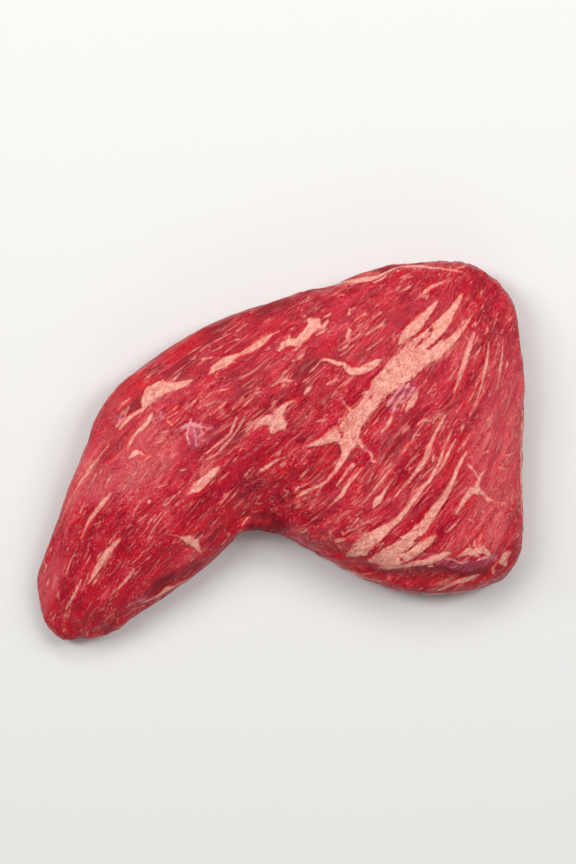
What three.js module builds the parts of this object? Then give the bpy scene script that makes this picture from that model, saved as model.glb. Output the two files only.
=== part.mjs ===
// Raw beef tri-tip roast, trimmed and boneless, lying on its flatter side.
// Millimetres, +Z up. X runs from the narrow tail on the left to the wide end on the right, and Y
// across the roast. The origin is on the resting plane, under the middle of the bounding box.
import * as THREE from "three";
import { mergeVertices } from "three/addons/utils/BufferGeometryUtils.js";

// Driving sizes
const THICKEST = 45;
const SHOULDER_REACH = 50; // how far in from the outline the top keeps rising
const SHOULDER_POWER = 2.1;
const FOOT_POWER = 2.2;
const BRIM_INSET = 4; // where the side wall hands over to the top sheet
const RELIEF_FADE = 9; // width of the rim along which the relief of the top dies out

// Mesh resolution
const STEPS_ALONG = 60;
const STEPS_ACROSS = 28;
const STEPS_UP = 8;
const WAIST_STEP = 5; // of STEPS_UP, counted from the resting face
const EDGE_CROWDING = 0.45;
const OUTLINE_SAMPLES = 1200;

// Thickness along the roast, as a share of THICKEST, from the tail (0) to the wide end (1)
const THICKNESS_STATIONS = [
  [0, 0.5],
  [0.18, 0.7],
  [0.4, 0.86],
  [0.62, 0.98],
  [0.82, 1],
  [1, 0.9],
];

// The outline seen from above, in four sides that run clockwise from the underside of the tail
const TAIL_END = [
  [-96, -98.7],
  [-108.5, -100],
  [-117.5, -97.2],
  [-124, -89],
  [-127.6, -78],
];
const OUTER_SIDE = [
  [-127, -66],
  [-118.5, -42],
  [-111, -20],
  [-103.5, -2],
  [-87.5, 31],
  [-66, 49],
  [-33, 68],
  [3, 80.8],
  [12, 84.8],
  [27, 86.6],
  [42, 92.3],
  [70, 99],
  [98, 98.5],
];
const WIDE_END = [
  [115, 89],
  [124, 74],
  [127.6, 52],
  [128.5, 22],
  [128, -12],
  [128.2, -42],
  [126, -56],
];
const INNER_SIDE = [
  [120, -65.3],
  [111, -70.8],
  [96, -74.2],
  [76, -75.4],
  [58, -72.8],
  [40, -65.2],
  [20, -53.2],
  [4, -45],
  [-10, -41.2],
  [-19, -42],
  [-24.5, -47.2],
  [-35, -57.8],
  [-50, -70],
  [-72, -84.5],
  [-85, -94],
];

// The side wall round the outline: the waist is its widest line, at a share of the thickness, and
// the foot is how far the resting face lies inside the outline. The cut lower right side leans in.
const SIDE_STATIONS = [
  { at: [-108.5, -100], waist: 0.42, foot: 8 },
  { at: [-118.5, -42], waist: 0.48, foot: 10 },
  { at: [-87.5, 31], waist: 0.5, foot: 13 },
  { at: [-33, 68], waist: 0.4, foot: 9 },
  { at: [27, 86.6], waist: 0.36, foot: 8 },
  { at: [98, 98.5], waist: 0.42, foot: 12 },
  { at: [128.5, 22], waist: 0.46, foot: 11 },
  { at: [128.2, -42], waist: 0.4, foot: 8 },
  { at: [96, -74.2], waist: 0.28, foot: 5 },
  { at: [40, -65.2], waist: 0.3, foot: 6 },
  { at: [-10, -41.2], waist: 0.42, foot: 7 },
  { at: [-35, -57.8], waist: 0.34, foot: 7 },
  { at: [-72, -84.5], waist: 0.36, foot: 9 },
];

// Furrows in the top between the muscle bundles: the line each follows, its depth and half width
const TOP_FURROWS = {
  crotch: { depth: 8, reach: 17, line: [[-19, -46], [-13, -36], [-6, -26], [4, -16]] },
  outerSeam: { depth: 2.4, reach: 9, line: [[-113, -30], [-97, -4], [-86, 15], [-73, 27], [-66, 42]] },
  centralSeam: { depth: 2.6, reach: 15, line: [[92, 84], [66, 50], [48, 28], [34, 6], [26, -16], [8, -28]] },
  upperSeam: { depth: 1.3, reach: 10, line: [[-46, 40], [-22, 50], [-4, 60], [24, 70]] },
  armHollow: { depth: 1.8, reach: 16, line: [[-46, -46], [-30, -30], [-14, -12], [6, 8]] },
  firstBundle: { depth: 1.7, reach: 9, line: [[20, -38], [40, -18], [54, 8], [62, 28]] },
  secondBundle: { depth: 1.7, reach: 9, line: [[38, -50], [62, -32], [76, -8], [86, 22]] },
  thirdBundle: { depth: 1.7, reach: 9, line: [[58, -56], [82, -34], [94, -8], [106, 26]] },
  endBundle: { depth: 1.2, reach: 11, line: [[92, -54], [107, -22], [117, 12]] },
};

// Furrows in the underside, in the same form
const UNDER_FURROWS = {
  crotch: { depth: 2.5, reach: 20, line: [[-16, -38], [-8, -22], [4, -4], [22, 12]] },
  arm: { depth: 1.6, reach: 11, line: [[-104, -66], [-76, -36], [-48, -6], [-18, 22], [10, 40]] },
  wideEnd: { depth: 1.8, reach: 12, line: [[58, -58], [76, -22], [88, 20], [92, 66]] },
};
const FURROW_END = 0.15; // how far into its half wave of depth a furrow starts and stops
const UNDER_MARGIN = [10, 24]; // distances inside the outline between which the underside furrows begin

// Low swells of the top: centre, half widths and rise
const SWELLS = {
  tailMuscle: { at: [-74, -30], size: [46, 42], rise: 2.4 },
  outerRoll: { at: [-86, 31], size: [20, 19], rise: 2.6 },
  upperMuscle: { at: [8, 38], size: [66, 30], rise: 2 },
  lowerBundleEnd: { at: [52, -42], size: [40, 22], rise: 2.6 },
  cornerFall: { at: [114, 86], size: [46, 40], rise: -4 },
};

// The fringe of fat along the lower right edge stands over a step down to the cut side
const LEDGE = {
  drop: 6,
  width: 4,
  reach: 18,
  line: [[24, -47], [42, -57], [60, -62.5], [82, -63], [104, -60], [121, -48]],
};

const flat = ([x, y]) => new THREE.Vector3(x, y, 0);
const outline = new THREE.CatmullRomCurve3(
  [...TAIL_END, ...OUTER_SIDE, ...WIDE_END, ...INNER_SIDE].map(flat),
  true,
  "centripetal",
);
outline.arcLengthDivisions = 2 * OUTLINE_SAMPLES;
const outlineSamples = outline.getSpacedPoints(OUTLINE_SAMPLES).slice(0, OUTLINE_SAMPLES);

// The share of the way round the outline at which it passes nearest to a plan point
function shareAt(corner) {
  const target = flat(corner);
  let best = 0;
  outlineSamples.forEach((point, i) => {
    if (point.distanceTo(target) < outlineSamples[best].distanceTo(target)) best = i;
  });
  return best / OUTLINE_SAMPLES;
}

const TAIL_UNDER = shareAt(TAIL_END[0]);
const TAIL_OUTER = shareAt(OUTER_SIDE[0]);
const WIDE_OUTER = shareAt(WIDE_END[0]);
const WIDE_INNER = shareAt(INNER_SIDE[0]);

const sideShares = SIDE_STATIONS.map(({ at }) => shareAt(at));

// Waist and foot at a share of the way round, eased between the stations
function sideAt(share) {
  const count = SIDE_STATIONS.length;
  const found = sideShares.findIndex((stationShare) => stationShare > share);
  const next = found < 0 ? 0 : found;
  const last = (next + count - 1) % count;
  const gap = THREE.MathUtils.euclideanModulo(sideShares[next] - sideShares[last], 1);
  const done = THREE.MathUtils.euclideanModulo(share - sideShares[last], 1);
  const blend = THREE.MathUtils.smoothstep(done, 0, gap);
  const mix = (key) => THREE.MathUtils.lerp(SIDE_STATIONS[last][key], SIDE_STATIONS[next][key], blend);
  return { waist: mix("waist"), foot: mix("foot") };
}

// Thickness at a station along the roast, eased between the stations
function thickness(u) {
  const next = THICKNESS_STATIONS.findIndex(([at], i) => i > 0 && u <= at);
  const [low, lowShare] = THICKNESS_STATIONS[next - 1];
  const [high, highShare] = THICKNESS_STATIONS[next];
  const blend = THREE.MathUtils.smoothstep(u, low, high);
  return THICKEST * THREE.MathUtils.lerp(lowShare, highShare, blend);
}

// Packs the mesh lines a little closer near the edges of a sheet
const crowd = (x) => x - (EDGE_CROWDING * Math.sin(2 * Math.PI * x)) / (2 * Math.PI);

// The share of the way round for a point on the border of the (u, v) sheet
function borderShare(u, v) {
  const along = crowd(u);
  const across = crowd(v);
  let share = THREE.MathUtils.lerp(TAIL_UNDER + 1, WIDE_INNER, along);
  if (v === 1) share = THREE.MathUtils.lerp(TAIL_OUTER, WIDE_OUTER, along);
  if (u === 0) share = THREE.MathUtils.lerp(TAIL_UNDER, TAIL_OUTER, across);
  if (u === 1) share = THREE.MathUtils.lerp(WIDE_INNER, WIDE_OUTER, across);
  return THREE.MathUtils.euclideanModulo(share, 1);
}

// A border point moved inwards from the outline. Its z is the height of the waist there.
function borderPoint(u, v, inset) {
  const share = borderShare(u, v);
  const tangent = outline.getTangentAt(share);
  const inwards = new THREE.Vector3(tangent.y, -tangent.x, 0);
  const point = outline.getPointAt(share).addScaledVector(inwards, inset);
  point.z = sideAt(share).waist * thickness(u);
  return point;
}

const brimPoint = (u, v) => borderPoint(u, v, BRIM_INSET);
const footPoint = (u, v) => borderPoint(u, v, sideAt(borderShare(u, v)).foot);

// A point of the sheet that spans a closed border, as a Coons patch between its four sides
function sheetPoint(u, v, border) {
  const a = crowd(u);
  const b = crowd(v);
  const point = new THREE.Vector3();
  point.addScaledVector(border(u, 0), 1 - b);
  point.addScaledVector(border(u, 1), b);
  point.addScaledVector(border(0, v), 1 - a);
  point.addScaledVector(border(1, v), a);
  point.addScaledVector(border(0, 0), -(1 - a) * (1 - b));
  point.addScaledVector(border(1, 0), -a * (1 - b));
  point.addScaledVector(border(0, 1), -(1 - a) * b);
  point.addScaledVector(border(1, 1), -a * b);
  return point;
}

// Distance to the outline, evened out so that it has no crease along the middle of the roast.
// Beside a long straight edge it equals the plain distance.
function softDistance(point) {
  const step = outline.getLength() / OUTLINE_SAMPLES;
  let sum = 0;
  for (const sample of outlineSamples) {
    sum += step / ((sample.x - point.x) ** 2 + (sample.y - point.y) ** 2) ** 2;
  }
  return (sum / (Math.PI / 2)) ** (-1 / 3);
}

// How far a point is from a bent line, on which side of it, and how far along it, from 0 to 1
function nearLine(line, point) {
  let nearest = { distance: Infinity, side: 1, along: 0 };
  for (let i = 0; i + 1 < line.length; i++) {
    const start = flat(line[i]);
    const way = flat(line[i + 1]).sub(start);
    const offset = new THREE.Vector3(point.x, point.y, 0).sub(start);
    const share = THREE.MathUtils.clamp(offset.dot(way) / way.lengthSq(), 0, 1);
    const distance = offset.distanceTo(way.clone().multiplyScalar(share));
    if (distance < nearest.distance) {
      const side = Math.sign(way.x * offset.y - way.y * offset.x) || 1;
      nearest = { distance, side, along: (i + share) / (line.length - 1) };
    }
  }
  return nearest;
}

// A smooth hump, 1 at the middle and exactly 0 from one half width on
const hump = (x) => Math.max(0, 1 - x * x) ** 2;

// How deep the furrows are at a plan point; each one shallows towards its ends
function furrowDepth(furrows, point) {
  let total = 0;
  for (const { depth, reach, line } of Object.values(furrows)) {
    const { distance, along } = nearLine(line, point);
    const taper = Math.sin(Math.PI * THREE.MathUtils.lerp(FURROW_END, 1 - FURROW_END, along));
    total += depth * taper * hump(distance / reach);
  }
  return total;
}

// The step down to the side below the fringe of fat
function ledgeDrop(point) {
  const { distance, side, along } = nearLine(LEDGE.line, point);
  const below = THREE.MathUtils.smoothstep(-side * distance, -LEDGE.width / 2, LEDGE.width / 2);
  const taper = Math.sqrt(Math.max(0, Math.sin(Math.PI * along)));
  return LEDGE.drop * below * taper * hump(distance / LEDGE.reach);
}

// What the top adds to its plain dome
function topRelief(point) {
  let height = -furrowDepth(TOP_FURROWS, point) - ledgeDrop(point);
  for (const { at, size, rise } of Object.values(SWELLS)) {
    height += rise * hump(Math.hypot((point.x - at[0]) / size[0], (point.y - at[1]) / size[1]));
  }
  return height;
}

// A rounded rise from 0 at the edge to 1 at full reach
function shoulder(x) {
  const left = 1 - Math.min(x, 1);
  return (1 - left ** SHOULDER_POWER) ** (1 / SHOULDER_POWER);
}

// Height of the top at a point that lies a given distance inside the outline
function topHeight(point, waist, inside, u) {
  const dome = waist + (thickness(u) - waist) * shoulder(inside / SHOULDER_REACH);
  return dome + topRelief(point) * THREE.MathUtils.smoothstep(inside, 0, RELIEF_FADE);
}

// The side wall: a rounded foot up to the waist, then the first rise towards the top
function wallPoint(u, v, level) {
  if (level <= WAIST_STEP) {
    const angle = (Math.PI / 2) * (1 - level / WAIST_STEP);
    const { foot } = sideAt(borderShare(u, v));
    const point = borderPoint(u, v, foot * (1 - Math.cos(angle) ** (2 / FOOT_POWER)));
    point.z *= 1 - Math.sin(angle) ** (2 / FOOT_POWER);
    return point;
  }
  const share = ((level - WAIST_STEP) / (STEPS_UP - WAIST_STEP)) ** 2;
  const point = borderPoint(u, v, BRIM_INSET * share);
  const inside = softDistance(brimPoint(u, v)) * share;
  point.z = topHeight(point, point.z, inside, u);
  return point;
}

// The underside rests flat, apart from its furrows
function underPoint(u, v) {
  const point = sheetPoint(u, v, footPoint);
  const inside = softDistance(point);
  point.z = furrowDepth(UNDER_FURROWS, point) * THREE.MathUtils.smoothstep(inside, ...UNDER_MARGIN);
  return point;
}

// Where a point of the parameter box lies on the roast
function roastPoint(u, v, level) {
  const onBorder = u === 0 || u === 1 || v === 0 || v === 1;
  if (onBorder) return wallPoint(u, v, level);
  if (level === 0) return underPoint(u, v);
  const point = sheetPoint(u, v, brimPoint);
  point.z = topHeight(point, point.z, softDistance(point), u);
  return point;
}

// A gridded box whose every vertex is moved onto the roast
function roastGeometry() {
  const box = new THREE.BoxGeometry(1, 1, 1, STEPS_ALONG, STEPS_ACROSS, STEPS_UP);
  box.deleteAttribute("normal");
  box.deleteAttribute("uv");
  const geometry = mergeVertices(box);
  const position = geometry.attributes.position;
  const gridShare = (value, steps) => Math.round((value + 0.5) * steps) / steps;
  for (let i = 0; i < position.count; i++) {
    const u = gridShare(position.getX(i), STEPS_ALONG);
    const v = gridShare(position.getY(i), STEPS_ACROSS);
    const level = Math.round((position.getZ(i) + 0.5) * STEPS_UP);
    const { x, y, z } = roastPoint(u, v, level);
    position.setXYZ(i, x, y, z);
  }
  geometry.computeBoundingBox();
  const { min, max } = geometry.boundingBox;
  geometry.translate(-(min.x + max.x) / 2, -(min.y + max.y) / 2, -min.z);
  geometry.computeVertexNormals();
  return geometry;
}

const rawBeef = new THREE.MeshStandardMaterial({ color: 0xb93b44, roughness: 0.45, metalness: 0 });

const triTip = new THREE.Mesh(roastGeometry(), rawBeef);
triTip.name = "tri_tip";

const roast = new THREE.Group();
roast.add(triTip);

export default roast;
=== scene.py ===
"""Looks for the raw beef tri-tip: moist marbled muscle, seen from straight above.

Lengths are in millimetres in the part's own frame until they are handed to Blender, which has metres.
"""
import itertools

import bpy
import numpy as np
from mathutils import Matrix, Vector
from mathutils.bvhtree import BVHTree


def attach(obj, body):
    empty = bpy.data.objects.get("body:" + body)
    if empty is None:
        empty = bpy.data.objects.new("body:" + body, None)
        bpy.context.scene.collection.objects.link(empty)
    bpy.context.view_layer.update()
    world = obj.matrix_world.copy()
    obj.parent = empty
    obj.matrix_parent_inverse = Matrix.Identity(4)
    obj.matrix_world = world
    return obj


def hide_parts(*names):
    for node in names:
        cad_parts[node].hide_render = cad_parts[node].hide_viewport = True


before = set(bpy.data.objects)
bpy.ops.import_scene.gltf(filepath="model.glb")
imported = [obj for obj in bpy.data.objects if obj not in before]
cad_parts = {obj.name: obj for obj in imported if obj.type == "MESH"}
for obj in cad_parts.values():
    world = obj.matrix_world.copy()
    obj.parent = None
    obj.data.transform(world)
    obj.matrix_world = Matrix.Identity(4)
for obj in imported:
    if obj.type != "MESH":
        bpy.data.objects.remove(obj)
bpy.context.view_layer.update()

MM = 0.001
SEED = 11

# Camera: straight above, its view set by the plane of the roast's widest outline
VIEW_CENTRE = (4.6, 10.1)
VIEW_HEIGHT = 453.6
VIEW_PLANE = 18
CAMERA_ABOVE = 1350
CAMERA_PLACE = (*VIEW_CENTRE, VIEW_PLANE + CAMERA_ABOVE)
SENSOR = 36

# Surface mesh: size of its even squares, rounds of smoothing, and how often they are then halved
VOXEL = 1.3
SMOOTH_ROUNDS = 14
FINE_LEVELS = 1

# Added to the x and y of the flat strokes and spots below
TRACE_SHIFT = (-0.15, 0.35)

# Muscle grain seen from above: (x, y, degrees from +X)
GRAIN = [
    (-120, -85, 66), (-118, -60, 66), (-104, -60, 60), (-100, -10, 57), (-88, 20, 52), (-80, -40, 50),
    (-60, 0, 42), (-60, 45, 34), (-45, -45, 44), (-20, 60, 30), (-20, 20, 38), (-20, -20, 46),
    (10, 40, 34), (10, 75, 26), (20, -30, 44), (30, 60, 38), (45, -10, 52), (50, 85, 32), (50, -55, 38),
    (60, 20, 57), (75, -20, 57), (75, -60, 38), (90, 60, 58), (95, -10, 64), (100, -45, 56),
    (115, 20, 72), (115, 70, 66), (118, -50, 62),
]

# Fat on the top as the camera sees it: each stroke is a run of (x, y, half width)
TOP_FAT = {
    "outer patch": [
        (-71.5, 22.6, 1), (-69.6, 26.6, 3.4), (-67, 30, 5), (-63, 32.2, 4.7), (-58.5, 33.2, 3.3),
        (-53, 34.3, 2.3), (-49, 35.4, 1.6), (-45.5, 37.2, 0.5),
    ],
    "outer patch horn": [(-63, 34.5, 2), (-60.5, 37.5, 0.4)],
    "outer seam": [
        (-72, 21.7, 1), (-75.5, 20, 1.2), (-79, 17.2, 1.2), (-81.6, 14.6, 1.2), (-84, 11.5, 0.8),
    ],
    "outer seam tail": [
        (-90, 2.7, 0.6), (-92.8, -0.4, 0.8), (-95.8, -4.6, 0.9), (-99.3, -8.5, 1), (-101.6, -13.1, 0.9),
        (-105, -17.7, 0.9), (-108, -22.5, 0.8), (-110.5, -27, 0.6), (-113, -32, 0.5), (-115.5, -39, 0.3),
    ],
    "inner curve": [
        (-66.6, 19.4, 0.8), (-67.4, 17, 1.3), (-68.8, 14.4, 1.3), (-71.2, 11.9, 1.1), (-74.7, 9.2, 0.9),
        (-77, 6.2, 0.9), (-78.9, 2.3, 0.8), (-79.5, -0.5, 0.4),
    ],
    "long upper strip": [
        (-36.5, 40, 0.6), (-33.5, 43.2, 2.2), (-28, 46.5, 2.9), (-25, 48.3, 2.2), (-20.5, 50.2, 1.1),
        (-15, 52.8, 1.8), (-11.5, 55.3, 2.3), (-7.5, 58.2, 1.6), (-3.5, 61.1, 0.8), (0.4, 62.7, 0.3),
    ],
    "long upper strip spur": [(-27, 46, 1), (-23.1, 46.2, 0.5)],
    "upper patch": [
        (0.2, 52.5, 0.7), (2.5, 55.5, 1.8), (6, 57, 2.2), (10, 57, 2.3), (13.5, 60, 2.7), (17, 63.5, 3),
        (19, 66.5, 3.4), (20.5, 68, 1.8),
    ],
    "upper patch bump": [(5.2, 57, 1.2), (5.7, 60.2, 0.6)],
    "upper patch lobe": [(18, 65, 2.2), (16.3, 67.8, 1.6), (17, 69.3, 0.6)],
    "upper patch arm": [(20, 65, 1.8), (23.2, 64.4, 1.2), (25.8, 67.8, 0.7)],
    "middle blob": [
        (-12.5, 11.2, 0.6), (-9.5, 14.5, 1.8), (-5.5, 16.2, 2.6), (-1.5, 14.5, 4.2), (1.5, 13.8, 3),
    ],
    "middle blob foot": [(-4, 13, 1.6), (-3.2, 11, 2.2)],
    "middle blob horn": [
        (-1, 15.5, 3.6), (-0.5, 19, 2.8), (1.5, 21.5, 2), (3.5, 24.2, 1.1), (8.5, 26.4, 0.4),
    ],
    "double line one": [
        (-38, -1.5, 0.5), (-33.8, 2.3, 0.6), (-30, 5.4, 0.7), (-26, 9, 0.6), (-24, 13.5, 0.9),
        (-22.3, 17.7, 0.5),
    ],
    "double line two": [
        (-37.7, -5, 0.5), (-32.3, -1.2, 0.6), (-29.2, 2.7, 0.7), (-25, 7, 0.6), (-21, 12.5, 0.7),
        (-17, 20, 0.4),
    ],
    "arm strip": [
        (-48.6, -23, 0.4), (-45.5, -21, 1), (-42.3, -19, 2.6), (-39, -16.2, 2.6), (-35.5, -12.8, 2.2),
        (-32.3, -9.6, 1.2), (-30.5, -8.2, 0.4),
    ],
    "arm low patch": [
        (-51, -45.5, 0.8), (-48, -46, 2), (-45, -48, 2.2), (-43, -50.5, 1.2), (-41.2, -53.3, 0.4),
    ],
    "arm low patch twig": [(-44.5, -47.5, 1), (-41.5, -44.8, 0.5), (-39.6, -42.8, 0.3)],
    "arm rim fat": [
        (-43.6, -64.2, 0.3), (-49.8, -68.2, 0.5), (-54.5, -71, 0.8), (-58.5, -72.8, 1.5),
        (-61.5, -74.8, 0.9), (-65.5, -77.4, 0.6), (-69.5, -79.6, 0.9), (-73, -81, 0.4),
    ],
    "beside the bend": [
        (-9.6, -10.8, 0.8), (-6.2, -8.8, 1.1), (-3.1, -6.5, 0.8), (0.4, -4.6, 0.6), (3.8, -3.5, 0.6),
    ],
    "upper branch": [
        (20.5, 46, 0.4), (24, 47.5, 0.8), (28, 46.5, 1), (31, 45.3, 1.2), (34, 45.4, 1), (35.2, 43.4, 1.5),
        (38, 41.2, 2), (42, 41.4, 1.9), (45, 42.3, 2.1), (48, 44, 2.2), (51, 46, 1.9), (53.5, 47.6, 0.8),
    ],
    "top rim": [
        (29.5, 86.4, 0.5), (33, 87.4, 1.3), (37, 88, 1.9), (41.5, 88.4, 2.4), (46, 89, 2.4), (50, 90.6, 2),
        (55, 92.8, 1.8), (61, 95.4, 1.4), (66, 96.8, 1.4), (72, 97.2, 1.3), (84, 96.2, 0.9), (96, 94, 0.5),
    ],
    "top rim spur": [(50, 88.2, 0.8), (54, 89.6, 1), (56.6, 91.6, 0.7)],
    "top rim outer": [(47.7, 93.8, 0.3), (55, 96.4, 0.5), (61, 98, 0.7), (72, 98.9, 0.6)],
    "great seam": [
        (96, 82, 0.6), (92, 75, 1.8), (86, 66.5, 3.4), (79, 58, 5.6), (72, 50.5, 7), (66, 45, 7),
        (59.5, 38, 6), (54, 34, 5.5), (49, 27.7, 4.7), (44.5, 20.7, 4.3), (39.7, 15.3, 4.8), (37, 11, 5.6),
        (36.8, 6, 5.2), (35.6, 2, 3.2),
    ],
    "great seam upper arm": [(74, 47, 4), (82, 51, 3.4), (90, 57, 2.2), (97, 64, 1.2), (102, 72, 0.4)],
    "great seam swell": [(64, 39.5, 4.5), (69, 42.2, 4.2), (74, 45, 3.6)],
    "great seam left twig": [(32.5, 27.8, 0.5), (34.3, 25.2, 0.7), (36.8, 22.3, 0.6), (39, 20, 0.8)],
    "great seam chunk": [
        (63.2, 56, 0.8), (66, 59.5, 2.3), (69.5, 63, 3), (73, 66.5, 2.8), (78, 72, 2), (83, 78, 0.8),
    ],
    "great seam left branch": [
        (15, 2.2, 0.5), (19, 3.2, 1.2), (22, 4.6, 1.8), (25, 6.2, 2.5), (28.5, 7.8, 3.3), (32, 9, 4.2),
    ],
    "great seam root": [
        (35.6, 1, 2.7), (34, -3.5, 1.9), (32.3, -6.6, 1.4), (30, -10.5, 1), (26, -15.4, 0.8),
        (22, -18.5, 0.9), (17.5, -20.2, 0.8), (13.5, -22, 1.1), (9.6, -23.8, 0.4),
    ],
    "great seam right twig": [
        (42.3, 5, 1.6), (43.8, 2, 0.8), (46.2, 0.2, 0.5), (47.8, -1, 0.7), (48.6, -3, 0.8), (48.2, -5, 0.6),
        (49.6, -5.8, 0.6), (50.4, -4.8, 0.4),
    ],
    "purple zone patch": [
        (66.6, 19, 0.3), (67.4, 22, 1), (69.4, 24.6, 1.9), (71.2, 27.4, 1.6), (72.4, 30, 0.6),
    ],
    "beside the root": [(38.8, -8.1, 1.4), (36.5, -10, 0.8), (33.8, -13.8, 0.6), (30.4, -18.5, 0.5)],
    "second thread": [
        (44.2, -8.5, 0.3), (41.5, -12.3, 0.7), (38.1, -15.8, 1.1), (35, -19.6, 1.2), (32.7, -23.8, 1.1),
        (29.2, -26.9, 0.6), (25.4, -29.6, 0.3),
    ],
    "third thread": [
        (60.8, -7.3, 0.4), (56.9, -11.9, 0.6), (53.8, -16.5, 0.8), (48.5, -22.7, 0.5), (44.2, -26.9, 0.4),
    ],
    "fourth thread": [
        (60.2, -15, 0.3), (57.5, -19, 0.5), (54.5, -23.5, 1), (52.3, -26, 1.9), (50.2, -28, 1.3),
        (49.2, -30, 0.4),
    ],
    "hook": [(73.5, 14.2, 0.6), (76.9, 16.2, 0.7), (79.6, 15.4, 0.6)],
    "hook stem": [(80.8, 14.2, 0.4), (84.2, 19.2, 0.5)],
    "first strip": [
        (87.3, 18.5, 0.5), (85.4, 14.6, 0.7), (82.7, 10, 0.8), (80.8, 5.4, 0.9), (78.8, 0.8, 1.7),
        (77.7, -3.1, 1.5), (75, -6.9, 1.5), (71.5, -11.5, 1), (68.5, -16.2, 0.7), (65, -20, 0.6),
        (62, -23.5, 0.5), (59.6, -26.5, 0.4),
    ],
    "second strip": [
        (87.6, 4.6, 0.5), (86.9, 1.2, 0.7), (85.4, -3.8, 0.9), (83.5, -7.7, 0.9), (81.2, -11.5, 0.9),
        (78.8, -16.2, 1), (75.8, -19.2, 1.1), (73.5, -23.1, 1.3), (69.6, -27.6, 1.1), (66.7, -31.6, 1.4),
        (63, -36, 1.6), (59.2, -39.3, 1.9), (55, -42.6, 3), (50.5, -45, 3.6), (46, -47.6, 4.3),
        (43, -51, 4.4), (39, -53.6, 2.4), (36, -55, 1),
    ],
    "second strip twin": [
        (91.6, 4, 0.5), (90.4, 0.8, 0.6), (88.1, -3.8, 0.8), (85.4, -8.5, 0.8), (82.7, -12.3, 0.5),
    ],
    "third strip": [
        (98.8, -0.8, 0.5), (95.8, -5.4, 1), (93.1, -10, 1.1), (91.2, -15.4, 1.2), (88.8, -20.8, 1.5),
        (85.6, -26.2, 1.8), (81.6, -31.6, 2.2), (78, -36.4, 2.7), (74, -41.6, 3.3), (70, -46, 3.4),
        (65, -49.4, 3.4), (60, -52.6, 3.4), (56, -55, 4), (52, -57, 3), (48.3, -57.6, 1.6),
    ],
    "fourth strip": [
        (82.3, -44.6, 0.6), (80, -46.8, 1.6), (77, -48.8, 2.3), (73.5, -51.2, 2.5), (70, -53.5, 2.4),
        (66, -55.6, 2.5), (61, -57.6, 3),
    ],
    "fifth strip": [
        (90.4, -53.1, 0.6), (87.3, -54.2, 1.5), (84, -55.7, 1.7), (80, -57.6, 2), (76, -58.6, 1.8),
        (72, -59.1, 1.8), (68, -60, 1.7), (62, -60.5, 1.8), (57, -60.8, 1.2), (53, -60, 0.8),
    ],
    "strip ends": [(50, -57.6, 1.8), (55, -58, 2.8), (60, -58.6, 3), (64, -59.2, 2)],
    "corner strip": [
        (93, -56.4, 0.4), (96.4, -54.8, 1.2), (99.4, -53.2, 2), (102, -53.8, 2), (103.8, -55, 1.2),
    ],
    "corner strip lump": [(103.4, -52.6, 1.8), (106.6, -51.9, 2.1), (109.2, -53.6, 1.2), (110.4, -55, 0.5)],
    "corner edge": [(120.6, -53.4, 0.8), (118.4, -54.8, 2.4), (117.4, -57.6, 2.5), (119, -60, 1.3)],
    "low streak": [
        (104.8, -65, 0.6), (99.6, -66.7, 1.7), (94.2, -68.3, 1.3), (90.4, -70.2, 1), (83.5, -73.5, 0.6),
    ],
    "star": [(101, -21, 1.8), (104, -21.2, 2.1)],
    "star top": [(103.4, -19.6, 1.6), (104.3, -16.6, 1.1), (106, -12.9, 0.8), (109.3, -9.6, 0.5)],
    "star left": [(104.4, -14.6, 0.8), (103.4, -12, 0.6), (101.4, -9.8, 0.6), (99.4, -8.2, 0.9)],
    "star arm": [(100.6, -22, 1.8), (97.4, -25.6, 1.6), (95, -29.2, 1.1), (92.3, -33.1, 0.5)],
    "star right": [(105.6, -21.8, 1.4), (108.4, -24, 1), (110.2, -25.8, 1), (112.4, -26.4, 0.5)],
    "end arc": [(112.7, -26.9, 0.3), (118.8, -27.7, 0.4), (123.5, -32.3, 0.4), (125, -38.5, 0.3)],
}

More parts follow.
